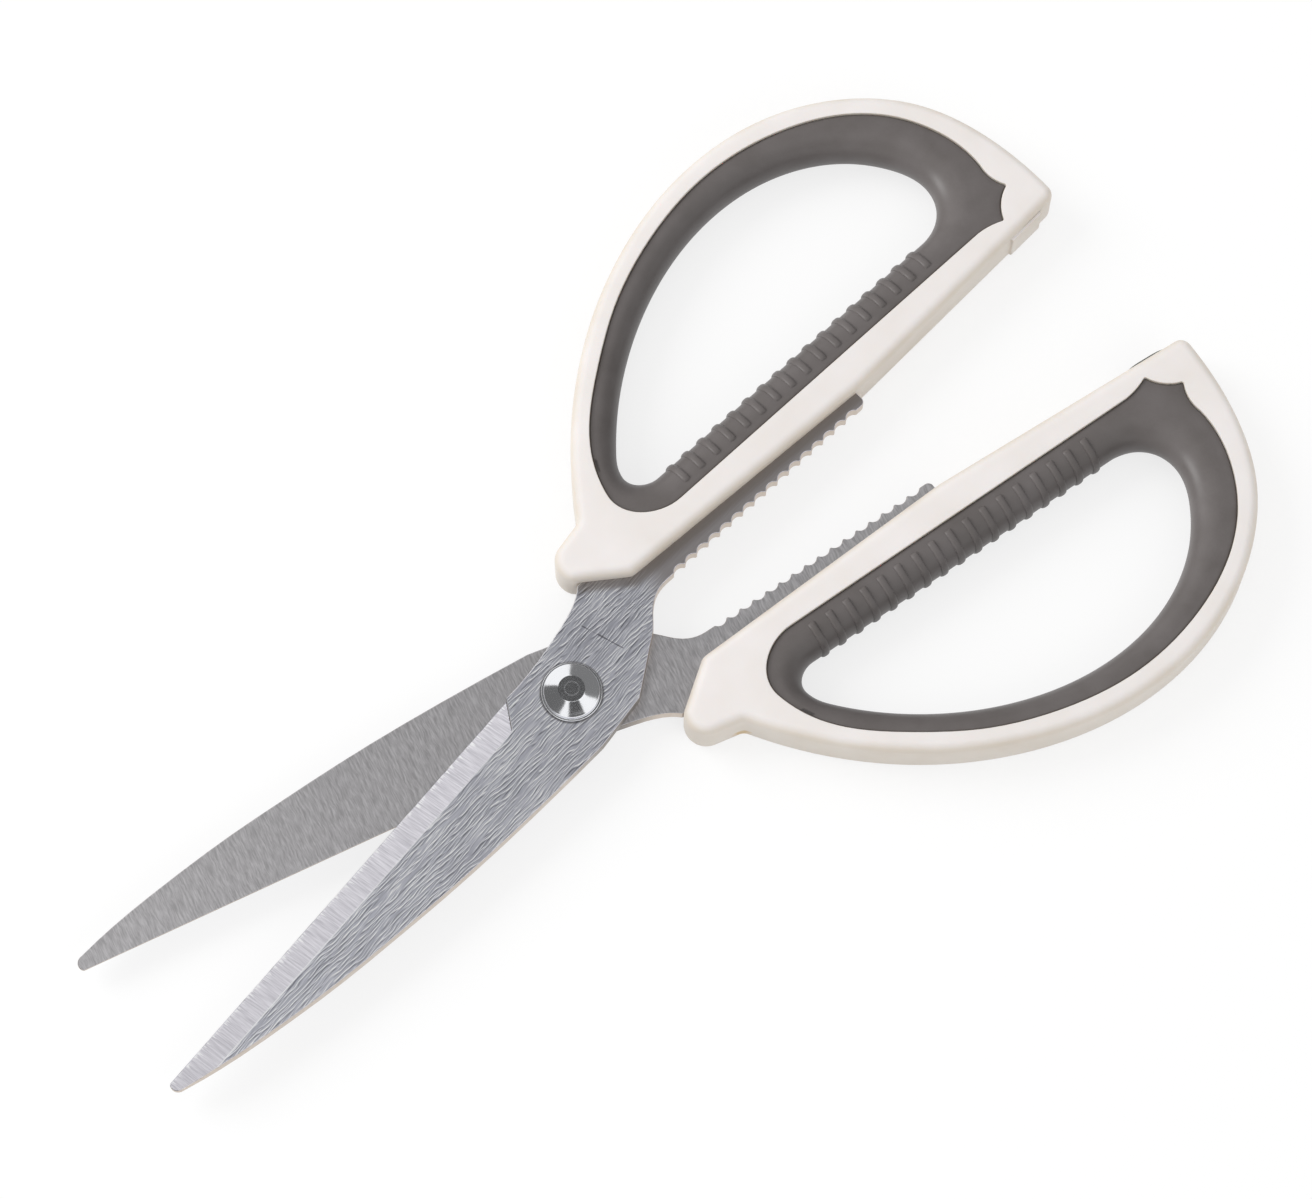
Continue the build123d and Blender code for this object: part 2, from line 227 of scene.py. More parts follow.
    # Painted shade: a brownish band on the steel along the shell's front edge, darkest where the steel goes into the
    # plastic
    handleY = compute(tree, "MULTIPLY", handleParts.outputs["Y"], float(side))
    beyond = []
    for start, end in zip(steel["shellEdge"], steel["shellEdge"][1:]):
        run = hypot(end[0] - start[0], end[1] - start[1])
        facing = (end[1] - start[1]) / run, (start[0] - end[0]) / run
        reach = compute(tree, "ADD", compute(tree, "MULTIPLY", handleParts.outputs["X"], facing[0]),
                        compute(tree, "MULTIPLY", handleY, facing[1]))
        beyond.append(compute(tree, "SUBTRACT", reach, (start[0] * facing[0] + start[1] * facing[1]) * mm))
    fromShell = compute(tree, "ADD", compute(tree, "MAXIMUM", *beyond),
                        compute(tree, "MULTIPLY", lines, steel["shellShadowWander"]))
    shellShadow = step(fromShell, steel["shellShadowWidth"] * 1.25, steel["shellShadowWidth"] * 0.5)
    shellShadow = compute(tree, "MULTIPLY", shellShadow, steel["shellShadowShare"])
    flat = mixValues(tree, shellShadow, flat, toLinear(steel["stainAndShade"]), "RGBA")
    # One long scratch across the front blade, which fades in and out
    if side > 0:
        start, end = (Vector((*point, 0)) for point in steel["scratch"])
        direction = (end - start).normalized()
        onFlat = addNode(tree, "ShaderNodeVectorMath", {"operation": "MULTIPLY"}, {
            0: place, 1: (1, 1, 0)}).outputs["Vector"]
        fromStart = addNode(tree, "ShaderNodeVectorMath", {"operation": "SUBTRACT"}, {
            0: onFlat, 1: start}).outputs["Vector"]
        alongScratch = addNode(tree, "ShaderNodeVectorMath", {"operation": "DOT_PRODUCT"}, {
            0: fromStart, 1: direction}).outputs["Value"]
        held = compute(tree, "MINIMUM", compute(tree, "MAXIMUM", alongScratch, 0.0), (end - start).length)
        nearest = addNode(tree, "ShaderNodeVectorMath", {"operation": "SCALE"}, {
            0: direction, "Scale": held}).outputs["Vector"]
        fromScratch = addNode(tree, "ShaderNodeVectorMath", {"operation": "DISTANCE"}, {
            0: fromStart, 1: nearest}).outputs["Value"]
        wander = compute(tree, "MULTIPLY", addGrain(tree, place, (2 * mm,) * 3, centred=True), steel["scratchWander"])
        scratched = step(compute(tree, "ADD", fromScratch, wander), steel["scratchWidth"], steel["scratchWidth"] * 0.4)
        scratched = compute(tree, "MULTIPLY", scratched, steel["scratchShare"])
        flat = mixValues(tree, scratched, flat, toLinear(steel["scratchTone"]), "RGBA")
    # A painted shadow: a dark ring on the steel round the washer
    fromPivot = addNode(tree, "ShaderNodeVectorMath", {"operation": "LENGTH"}, {0: alongBlade}).outputs["Value"]
    washerShadowed = compute(tree, "MULTIPLY", step(fromPivot, steel["washerShadowRing"][1], steel["washerShadowRing"][0]), steel["washerShadowShare"])
    flat = mixValues(tree, washerShadowed, flat, toLinear(steel["washerShadow"]), "RGBA")
    inner = addRamp(tree, satin, (0.35, steel["innerTones"][0]), (0.65, steel["innerTones"][1]))
    bevel = addRamp(tree, grind, (0.32, steel["bevelTones"][0]), (0.68, steel["bevelTones"][1]))
    # Bright ticks where the grinding wheel left the cutting edge, and a painted highlight, near white, along the ridge
    # between flat and bevel
    fromEdge = compute(tree, "MULTIPLY", bladeParts.outputs["Y"], float(side))
    fromEdge = compute(tree, "ADD", fromEdge, steel["edgeOffset"])
    tickNoise = addGrain(tree, alongBlade, steel["edgeTick"], roughness=0.6)
    tickReach = compute(tree, "SUBTRACT", tickNoise, steel["tickLevel"])
    tickReach = compute(tree, "MULTIPLY", tickReach, steel["tickLength"] * 5)
    tick = step(compute(tree, "SUBTRACT", tickReach, fromEdge), 0.0, steel["tickEase"])
    bevel = mixValues(tree, compute(tree, "MAXIMUM", tick, isRidge), bevel, toLinear(steel["tickAndRidgeHighlight"]), "RGBA")
    colour = mixValues(tree, isInner, flat, inner, "RGBA")
    colour = mixValues(tree, compute(tree, "MAXIMUM", isBevel, isRidge), colour, bevel, "RGBA")
    # Painted shade: near the pivot, where the blades lap, the sheared sides are painted dark, fading to the sheared
    # tone further along
    sides = addRamp(tree, compute(tree, "DIVIDE", fromPivot, steel["lappedShadeReach"]),
                    (0.5, steel["lappedSideShade"]), (0.95, steel["sheared"]))
    colour = mixValues(tree, isSheared, colour, sides, "RGBA")
    tree.links.new(colour, shader.inputs["Base Color"])
    relief = mixValues(tree, isBevel, mixValues(tree, isInner, tone, satin), grind)
    roughness = addNode(tree, "ShaderNodeMapRange", wires={"Value": relief, "To Min": 0.28, "To Max": 0.42})
    tree.links.new(roughness.outputs["Result"], shader.inputs["Roughness"])
    bump = addNode(tree, "ShaderNodeBump", wires={"Height": relief, "Distance": steel["reliefDepth"]})
    tree.links.new(bump.outputs["Normal"], shader.inputs["Normal"])
    return material


# Nickel-plated steel, turned and polished: bright, with the faintest rings about its axis
def rivetMaterial():
    finish = dict(ringPitch=0.3 * mm, ringDepth=0.0001 * mm, smear=(1.2 * mm,) * 3)  # real rings are finer
    material, tree, shader = startMaterial("nickelPlatedSteelTurned", {
        "Metallic": 1.0, "Base Color": toLinear("#F2F3F6")})
    place = addNode(tree, "ShaderNodeTexCoord").outputs["Object"]
    aboutPivot = addNode(tree, "ShaderNodeMapping", wires={"Vector": place, "Location": -pivot}).outputs["Vector"]
    rings = addNode(tree, "ShaderNodeTexWave", {"wave_type": "RINGS", "rings_direction": "Z"}, {
        "Vector": aboutPivot, "Scale": pi / 10 / finish["ringPitch"], "Distortion": 0.1, "Detail": 1})
    smear = addGrain(tree, aboutPivot, finish["smear"])
    roughness = addNode(tree, "ShaderNodeMapRange", wires={"Value": smear, "To Min": 0.12, "To Max": 0.17})
    tree.links.new(roughness.outputs["Result"], shader.inputs["Roughness"])
    bump = addNode(tree, "ShaderNodeBump", wires={"Height": rings.outputs["Fac"], "Distance": finish["ringDepth"]})
    tree.links.new(bump.outputs["Normal"], shader.inputs["Normal"])
    return material


# ABS, injection moulded in cream: warm white with a soft gloss and a very slight orange peel
def creamMaterial():
    plastic = dict(
        cloud=(9 * mm,) * 3, peel=(1.4 * mm,) * 3, peelDepth=0.006 * mm, tooling=(0.25 * mm,) * 3,
        stains=(dict(place=(4.6, -21.2, 2.0), reach=3.0, colour="#CFAE72"),
                dict(place=(6.6, -22.0, 0.9), reach=1.6, colour="#8A6A3C")),
        stainRag=(1.1 * mm,) * 3, stainRagShare=0.9,
    )
    material, tree, shader = startMaterial("absPlasticMouldedCream", {
        "IOR": 1.53, "Subsurface Weight": 0.08, "Subsurface Radius": (2 * mm, 1.4 * mm, 1 * mm),
        "Subsurface Scale": 1.0})
    place = addNode(tree, "ShaderNodeTexCoord").outputs["Object"]
    # Painted shade: surfaces that face sideways, the rounded flanks and walls, are painted darker and warmer than the
    # pinkish white top
    cloud = addGrain(tree, place, plastic["cloud"], detail=2)
    top = addRamp(tree, cloud, (0.3, "#E9E3DF"), (0.7, "#EEE9E7"))
    flank = addRamp(tree, cloud, (0.3, "#DDD3C6"), (0.7, "#E5DDD3"))
    facing = addNode(tree, "ShaderNodeSeparateXYZ", wires={
        "Vector": addNode(tree, "ShaderNodeNewGeometry").outputs["Normal"]}).outputs["Z"]
    uneven = compute(tree, "MULTIPLY", compute(tree, "SUBTRACT", cloud, 0.5), 0.2)
    turned = compute(tree, "ADD", compute(tree, "ABSOLUTE", facing), uneven)
    tint = mixValues(tree, addRamp(tree, turned, (0.6, 1), (0.97, 0)), top, flank, "RGBA")
    # Old yellow stains in the notch behind the back handle's lug
    for stainAndShade in plastic["stains"]:
        away = addNode(tree, "ShaderNodeVectorMath", {"operation": "DISTANCE"}, {
            0: place, 1: [value * mm for value in stainAndShade["place"]]}).outputs["Value"]
        rag = compute(tree, "MULTIPLY", addGrain(tree, place, plastic["stainRag"], detail=3), plastic["stainRagShare"])
        ragged = compute(tree, "ADD", compute(tree, "DIVIDE", away, stainAndShade["reach"] * mm), rag)
        tint = mixValues(tree, addRamp(tree, ragged, (0.7, 0.85), (1.0, 0)), tint, toLinear(stainAndShade["colour"]), "RGBA")
    tree.links.new(tint, shader.inputs["Base Color"])
    tooling = addGrain(tree, place, plastic["tooling"], detail=2)
    roughness = addNode(tree, "ShaderNodeMapRange", wires={"Value": tooling, "To Min": 0.36, "To Max": 0.46})
    tree.links.new(roughness.outputs["Result"], shader.inputs["Roughness"])
    peel = addGrain(tree, place, plastic["peel"], detail=2)
    bump = addNode(tree, "ShaderNodeBump", wires={"Height": peel, "Distance": plastic["peelDepth"]})
    tree.links.new(bump.outputs["Normal"], shader.inputs["Normal"])
    return material


# Thermoplastic rubber, moulded over the plastic: warm dark grey with a silky, slightly dusty bloom
def rubberMaterial(name, dark, light, roughnessRange):
    rubber = dict(cloud=(6 * mm,) * 3, skin=(0.3 * mm,) * 3, skinDepth=0.012 * mm)
    material, tree, shader = startMaterial(name, {
        "IOR": 1.5, "Sheen Weight": 0.06, "Sheen Roughness": 0.4})
    place = addNode(tree, "ShaderNodeTexCoord").outputs["Object"]
    cloud = addGrain(tree, place, rubber["cloud"], detail=3)
    skin = addGrain(tree, place, rubber["skin"], detail=3, roughness=0.6)
    shade = compute(tree, "ADD", compute(tree, "MULTIPLY", cloud, 0.8), compute(tree, "MULTIPLY", skin, 0.2))
    tint = addRamp(tree, shade, (0.3, dark), (0.7, light))
    tree.links.new(tint, shader.inputs["Base Color"])
    roughness = addNode(tree, "ShaderNodeMapRange", wires={
        "Value": skin, "To Min": roughnessRange[0], "To Max": roughnessRange[1]})
    tree.links.new(roughness.outputs["Result"], shader.inputs["Roughness"])
    bump = addNode(tree, "ShaderNodeBump", wires={"Height": skin, "Distance": rubber["skinDepth"], "Strength": 0.5})
    tree.links.new(bump.outputs["Normal"], shader.inputs["Normal"])
    return material


steel = {name: steelMaterial(f"stainlessSteelGround{name.title()}", side, name) for name, side in halfSides.items()}
nickel = rivetMaterial()
cream = creamMaterial()
gripRubber = rubberMaterial("thermoplasticRubberGrip", "#55504E", "#615C5B", (0.38, 0.48))
bumperRubber = rubberMaterial("rubberBumperGrey", "#5C5C58", "#6E6E69", (0.55, 0.7))
print("materials made")


pieces = []


# Gives a finished mesh its object, material and body, hides the CAD parts it replaces, and adds it to the pieces
def finishPiece(mesh, name, material, body, replaced=()):
    mesh.name = name
    mesh.materials.clear()
    mesh.materials.append(material)
    piece = bpy.data.objects.new(name, mesh)
    bpy.context.scene.collection.objects.link(piece)
    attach(piece, body)
    if replaced:
        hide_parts(*replaced)
    pieces.append(piece)


# A plain mesh of an object with its modifiers worked out; the object goes
def takeMesh(source):
    graph = bpy.context.evaluated_depsgraph_get()
    mesh = bpy.data.meshes.new_from_object(source.evaluated_get(graph))
    bpy.data.objects.remove(source)
    return mesh


# A CAD node's shape as one closed mesh with small rounds along its sharp edges. It is first cut across at
# the given planes, so that a round's end can't draw a long sliver along the face beside it
def roundedCopy(nodeName, edgeRound, sharpAngle, segments=2, cuts=()):
    work = bmesh.new()
    work.from_mesh(frame["nodes"][nodeName].data)
    bmesh.ops.remove_doubles(work, verts=work.verts, dist=0.001 * mm)
    bmesh.ops.dissolve_limit(work, angle_limit=radians(0.2), verts=work.verts, edges=work.edges)
    for point, normal in cuts:
        everything = work.verts[:] + work.edges[:] + work.faces[:]
        bmesh.ops.bisect_plane(work, geom=everything, plane_co=point, plane_no=normal)
    mesh = bpy.data.meshes.new(nodeName + "Rounded")
    work.to_mesh(mesh)
    work.free()
    if "custom_normal" in mesh.attributes:
        mesh.attributes.remove(mesh.attributes["custom_normal"])
    mesh.shade_smooth()
    source = bpy.data.objects.new(nodeName + "Rounded", mesh)
    bpy.context.scene.collection.objects.link(source)
    bevel = source.modifiers.new("edgeRound", "BEVEL")
    bevel.width = edgeRound
    bevel.segments = segments
    bevel.limit_method = "ANGLE"
    bevel.angle_limit = radians(sharpAngle)
    bevel.use_clamp_overlap = False
    bevel.harden_normals = True
    return takeMesh(source)


# Blades: one steel stamping each, with its tang and toothed jaw strip
blades = dict(edgeRound=0.15 * mm, sharpAngle=20)
for name, side in halfSides.items():
    mesh = roundedCopy(f"{name}_blade", blades["edgeRound"], blades["sharpAngle"])
    finishPiece(mesh, f"{name}_blade_steel", steel[name], f"{name}_half", [f"{name}_blade"])

# Handles: hard cream shells around the tangs, with a crisp rim round each grip
handles = dict(edgeRound=0.16 * mm, sharpAngle=38, stopEnds=(104.3, 112.3))
for name, side in halfSides.items():
    toTable = halfMatrix(side)
    across = toTable.to_3x3() @ Vector((1, 0, 0))
    cuts = [(toTable @ Vector((x * mm, 0, 0)), across) for x in handles["stopEnds"]]
    mesh = roundedCopy(f"{name}_handle", handles["edgeRound"], handles["sharpAngle"], cuts=cuts)
    finishPiece(mesh, f"{name}_handle_shell", cream, f"{name}_half", [f"{name}_handle"])
print("blades and handles dressed")

# Rubber grips, drawn like the solids in the half's own plane, in millimetres and shares of their sizes
grip = dict(
    front=26.2, base=11.45, length=83.8, height=37.95, pad=5.9, wall=4.75, heel=7.9,
    straight=(0.099, 0.895), holeStraight=(0.057, 0.895), roundCorner=0.552,
    curve=((0.999, 0.225), (0.999, 0.344), (0.979, 0.51), (0.94, 0.662), (0.885, 0.785), (0.76, 0.932),
           (0.583, 1.0), (0.405, 0.94), (0.285, 0.838), (0.165, 0.672), (0.047, 0.44), (0.0, 0.22)),
    holeCurve=((0.921, 0.011), (0.95, 0.042), (0.985, 0.13), (1.0, 0.28), (0.97, 0.507), (0.9, 0.728),
               (0.76, 0.935), (0.58, 1.0), (0.41, 0.925), (0.27, 0.775), (0.13, 0.535), (0.035, 0.3),
               (0.007, 0.2), (0.0, 0.145)),
    crown=((0.927, -0.012), (0.952, -0.033), (0.974, 0.036), (1.008, 0.078), (0.997, 0.144)),
    topHeight=4.35, seamDepth=0.5, seamRound=0.4,
    narrowRound=4.0, wideRound=5.5, roundness=2.15, steps=(110, 12, 250, 36), roundSteps=16,
)


def shareCurve(shares, corner, size):
    return np.array([(corner[0] + x * size[0], corner[1] + y * size[1]) for x, y in shares])


# A smooth curve through the points: its slopes agree at each point, and at the ends they follow
# the cubic through the first or last four points
def smoothCurve(points, steps):
    gaps = np.hypot(*np.diff(points, axis=0).T)
    at = np.concatenate([[0], np.cumsum(gaps)])
    secants = np.diff(points, axis=0) / gaps[:, None]
    count = len(points)
    system, target = np.zeros((count, count)), np.zeros((count, 2))
    for i in range(1, count - 1):
        system[i, i - 1:i + 2] = gaps[i], 2 * (gaps[i - 1] + gaps[i]), gaps[i - 1]
        target[i] = 3 * (gaps[i] * secants[i - 1] + gaps[i - 1] * secants[i])
    for row, used in ((0, range(4)), (count - 1, range(count - 4, count))):
        system[row, row] = 1
        local = at[list(used)] - at[row]
        target[row] = [np.polyfit(local, points[list(used), axis], 3)[2] for axis in (0, 1)]
    slopes = np.linalg.solve(system, target)
    curve = []
    for t in np.linspace(0, at[-1], steps):
        i = min(np.searchsorted(at, t, side="right") - 1, count - 2)
        u, h = (t - at[i]) / gaps[i], gaps[i]
        curve.append(points[i] * (1 + 2 * u) * (1 - u) ** 2 + points[i + 1] * u * u * (3 - 2 * u)
                     + slopes[i] * h * u * (1 - u) ** 2 - slopes[i + 1] * h * u * u * (1 - u))
    return np.array(curve)


def arcThrough(a, b, c, steps):
    matrix = 2 * np.array([np.subtract(b, a), np.subtract(c, a)])
    centre = np.linalg.solve(matrix, [np.dot(b, b) - np.dot(a, a), np.dot(c, c) - np.dot(a, a)])
    start, middle, end = (atan2(p[1] - centre[1], p[0] - centre[0]) for p in (a, b, c))
    toMiddle, toEnd = (middle - start) % (2 * pi), (end - start) % (2 * pi)
    turn = toEnd if toMiddle < toEnd else toEnd - 2 * pi
    angles = start + np.linspace(0, turn, steps)
    radius = hypot(a[0] - centre[0], a[1] - centre[1])
    return centre + radius * np.stack([np.cos(angles), np.sin(angles)], axis=1)


# The round corner that leads a curve's end smoothly into the start of the straight side
def roundCorner(curve, sideStart, steps):
    above, heading = curve[-1], curve[-1] - curve[-2]
    heading = heading / np.hypot(*heading)
    drop = grip["roundCorner"] * (above[1] - sideStart[1])
    run = grip["roundCorner"] * (sideStart[0] - above[0])
    controls = (above, above + heading * drop, sideStart - (run, 0), sideStart)
    weights = [(1, 3, 3, 1)[i] * np.linspace(0, 1, steps) ** i * np.linspace(1, 0, steps) ** (3 - i)
               for i in range(4)]
    return sum(weight[:, None] * control for weight, control in zip(weights, controls))


def gripOutline():
    corner, size = (grip["front"], grip["base"]), (grip["length"], grip["height"])
    straightSteps, crownSteps, curveSteps, cornerSteps = grip["steps"]
    start, end = [np.array((corner[0] + share * size[0], corner[1])) for share in grip["straight"]]
    flare, nearTip, valley, farTip, backFlare = shareCurve(grip["crown"], corner, size)
    shares = shareCurve(grip["curve"], corner, size)
    curve = smoothCurve(shares, curveSteps)
    runs = [np.linspace(start, end, straightSteps), arcThrough(end, flare, nearTip, crownSteps),
            arcThrough(nearTip, valley, farTip, crownSteps), arcThrough(farTip, backFlare, shares[0], crownSteps),
            curve, roundCorner(curve, start, cornerSteps)]
    return np.concatenate([run[:-1] for run in runs])


def holeOutline(steps=4000):
    corner = (grip["front"] + grip["wall"], grip["base"] + grip["pad"])
    size = (grip["length"] - grip["wall"] - grip["heel"], grip["height"] - grip["pad"] - grip["wall"])
    start, end = [np.array((corner[0] + share * size[0], corner[1])) for share in grip["holeStraight"]]
    curve = smoothCurve(np.vstack([end, shareCurve(grip["holeCurve"], corner, size)]), 2 * steps)
    runs = [np.linspace(start, end, steps), curve, roundCorner(curve, start, steps // 4)]
    return np.concatenate([run[:-1] for run in runs])


# The upper half of the grip's section, as (distance from its outer edge, height) for a band this wide
def gripSection(width):
    spread = min(max((width - grip["wall"]) / (grip["heel"] - grip["wall"]), 0), 1)
    roundWidth = min(grip["narrowRound"] + spread * (grip["wideRound"] - grip["narrowRound"]), 0.9 * width)
    top = grip["topHeight"]
    seam = [(grip["seamRound"] * (1 - cos(t)), top - grip["seamDepth"] * (1 - sin(t)))
            for t in np.linspace(0, pi / 2, 5)]
    flat = [(grip["seamRound"] + share * (width - roundWidth - grip["seamRound"]), top) for share in (0.35, 0.7)]
    angles = np.linspace(0, pi / 2, grip["roundSteps"])
    power = 2 / grip["roundness"]
    bead = [(width - roundWidth + roundWidth * sin(t) ** power, top * max(cos(t), 0) ** power) for t in angles]
    return np.array(seam + flat + bead)


def gridFaces(rows, columns, wrapRows=True, wrapColumns=True):
    return [(r * columns + c, r * columns + (c + 1) % columns,
             (r + 1) % rows * columns + (c + 1) % columns, (r + 1) % rows * columns + c)
            for r in range(rows - (not wrapRows)) for c in range(columns - (not wrapColumns))]


def meshFrom(points, faces, name):
    mesh = bpy.data.meshes.new(name)
    mesh.from_pydata([tuple(p) for p in points], [], faces)
    work = bmesh.new()
    work.from_mesh(mesh)
    bmesh.ops.remove_doubles(work, verts=work.verts, dist=0.0005 * mm)
    bmesh.ops.recalc_face_normals(work, faces=work.faces)
    work.to_mesh(mesh)
    work.free()
    mesh.shade_smooth()
    return mesh


# The grip is a closed band: each spoke runs from a point of its outer edge square to the finger hole
def gripMesh():
    outer, hole = gripOutline(), holeOutline()
    nearest = np.array([np.argmin(((hole - point) ** 2).sum(1)) for point in outer])
    points = []
    for point, inner in zip(outer, hole[nearest]):
        width = np.hypot(*(inner - point))
        inward = (inner - point) / width
        half = gripSection(width)
        section = np.vstack([half, half[-2::-1] * (1, -1)])
        points += [(*(point + inward * along) * mm, height * mm) for along, height in section]
    columns = len(section)
    return meshFrom(points, gridFaces(len(outer), columns), "grip")


for name, side in halfSides.items():
    mesh = gripMesh()
    mesh.transform(halfMatrix(side))
    finishPiece(mesh, f"{name}_grip_rubber", gripRubber, f"{name}_half", [f"{name}_grip"])
print("grips moulded")

# Ribs over the straight side of each grip: one blank, wrapped over the bead, repeated along the handle
rib = dict(width=1.3, proud=0.36, sunk=0.35, pitch=3.37, count=17, margin=2.5, inset=1.3, taper=0.9,
           squareness=2.5, steps=64, crossSteps=16)


def ribBlank():
    half = gripSection(grip["pad"])
    path = np.vstack([half, half[-2::-1] * (1, -1)])
    lengths = np.concatenate([[0], np.cumsum(np.hypot(*np.diff(path, axis=0).T))])
    flatStart = np.interp(rib["inset"], half[:8, 0], lengths[:8])
    at = np.linspace(flatStart, lengths[-1] - flatStart, rib["steps"])
    bead = np.stack([np.interp(at, lengths, path[:, axis]) for axis in (0, 1)], axis=1)
    slope = np.gradient(bead, axis=0)
    outward = np.stack([-slope[:, 1], slope[:, 0]], axis=1) / np.hypot(*slope.T)[:, None]
    points = []
    for place, normal, toEnd in zip(bead, outward, np.minimum(at - at[0], at[-1] - at)):
        ease = min(toEnd / rib["taper"], 1)
        crest = -0.15 + (rib["proud"] + 0.15) * (1 - (1 - ease) ** 2) ** 0.5
        for angle in np.linspace(0, 2 * pi, rib["crossSteps"], endpoint=False):
            power = 2 / rib["squareness"]
            across = rib["width"] / 2 * abs(cos(angle)) ** power * (1 if cos(angle) > 0 else -1)
            lift = abs(sin(angle)) ** power * (1 if sin(angle) > 0 else -1)
            rise = (crest - rib["sunk"]) / 2 + lift * (crest + rib["sunk"]) / 2
            spot = place + normal * rise
            points.append((across * mm, (grip["base"] + spot[0]) * mm, spot[1] * mm))
    rows, columns = len(bead), rib["crossSteps"]
    faces = gridFaces(rows, columns, wrapRows=False)
    faces += [tuple(range(columns)), tuple(range((rows - 1) * columns, rows * columns))]
    return meshFrom(points, faces, "ribBlank")


# The tree lays the blank out along the handle and gives the copies their rubber
def ribTree(material):
    tree = bpy.data.node_groups.new("gripRibs", "GeometryNodeTree")
    tree.interface.new_socket("Blank", in_out="INPUT", socket_type="NodeSocketGeometry")
    sockets = {key: tree.interface.new_socket(key, in_out="INPUT", socket_type=kind).identifier for key, kind in
               (("First", "NodeSocketFloat"), ("Pitch", "NodeSocketFloat"), ("Count", "NodeSocketInt"))}
    tree.interface.new_socket("Ribs", in_out="OUTPUT", socket_type="NodeSocketGeometry")
    given = addNode(tree, "NodeGroupInput")
    first = addNode(tree, "ShaderNodeCombineXYZ", wires={"X": given.outputs["First"]})
    pitch = addNode(tree, "ShaderNodeCombineXYZ", wires={"X": given.outputs["Pitch"]})
    places = addNode(tree, "GeometryNodeMeshLine", {"mode": "OFFSET"}, {
        "Count": given.outputs["Count"], "Start Location": first.outputs["Vector"],
        "Offset": pitch.outputs["Vector"]})
    copies = addNode(tree, "GeometryNodeInstanceOnPoints", wires={
        "Points": places.outputs["Mesh"], "Instance": given.outputs["Blank"]})
    solid = addNode(tree, "GeometryNodeRealizeInstances", wires={"Geometry": copies.outputs["Instances"]})
    dressed = addNode(tree, "GeometryNodeSetMaterial", wires={
        "Geometry": solid.outputs["Geometry"], "Material": material})
    addNode(tree, "NodeGroupOutput", wires={"Ribs": dressed.outputs["Geometry"]})
    return tree, sockets


holeFront = grip["front"] + grip["wall"]
holeLength = grip["length"] - grip["wall"] - grip["heel"]
ribLayout = {"First": (holeFront + grip["holeStraight"][0] * holeLength + rib["margin"]) * mm,
             "Pitch": rib["pitch"] * mm, "Count": rib["count"]}
tree, sockets = ribTree(gripRubber)
for name, side in halfSides.items():
    source = bpy.data.objects.new(name + "RibSource", ribBlank())
    bpy.context.scene.collection.objects.link(source)
    repeat = source.modifiers.new("ribs", "NODES")
    repeat.node_group = tree
    for key, value in ribLayout.items():
        repeat[sockets[key]] = value
    mesh = takeMesh(source)
    mesh.transform(halfMatrix(side))
    mesh.shade_smooth()
    finishPiece(mesh, f"{name}_grip_ribs", gripRubber, f"{name}_half")
print("ribs repeated")

# Pivot rivet, washer and burr plate, all turned about the pivot. Heights are from the blades' meeting face
rivet = dict(
    shank=2.5, headBase=2.775, headRim=0.45, headRadius=4.55, discRadius=2.15, discHeight=4.6,
    flankRadius=4.22, flankHeight=3.48, flankCrown=0.03,
    ringRadius=1.15, ringHalf=0.08, ringShoulder=0.12, ringDepth=0.015,
    tailBase=-2.825, tailRadius=3.8, tailApex=-3.95,
    washerInner=2.55, washerOuter=4.9, washerLow=2.375, washerHigh=2.765,
    burrOuter=4.7, burrLow=-2.82, burrHigh=-2.33,
    edgeRound=0.1, sharpAngle=26, turns=96,
)


def roundProfile(points, radius, steps=6):
    rounded = []
    for i, point in enumerate(points):
        before, after = points[i - 1], points[(i + 1) % len(points)]
        if point[0] < 1e-6 or i in (0, len(points) - 1):
            rounded.append(point)
            continue
        legs = [np.subtract(other, point) for other in (before, after)]
        reach = [min(radius, 0.4 * np.hypot(*leg)) for leg in legs]
        start, end = (np.add(point, leg / np.hypot(*leg) * r) for leg, r in zip(legs, reach))
        rounded += [tuple((1 - t) ** 2 * start + 2 * t * (1 - t) * np.array(point) + t * t * end)
                    for t in np.linspace(0, 1, steps)]
    return rounded


def turnedMesh(profile, name, closed=False):
    turns = rivet["turns"]
    points = [(r * cos(a) * mm, r * sin(a) * mm, z * mm) for r, z in profile
              for a in (2 * pi * t / turns for t in range(turns))]
    mesh = meshFrom(points, gridFaces(len(profile), turns, wrapRows=closed), name)
    mesh.set_sharp_from_angle(angle=radians(rivet["sharpAngle"]))
    mesh.transform(Matrix.Translation(pivot))
    return mesh


def capHeight(r, apex, rimRadius, rimHeight):
    drop = abs(apex - rimHeight)
    ball = (rimRadius ** 2 + drop ** 2) / (2 * drop)
    sag = ball - (ball ** 2 - r * r) ** 0.5
    return apex - sag if apex > rimHeight else apex + sag


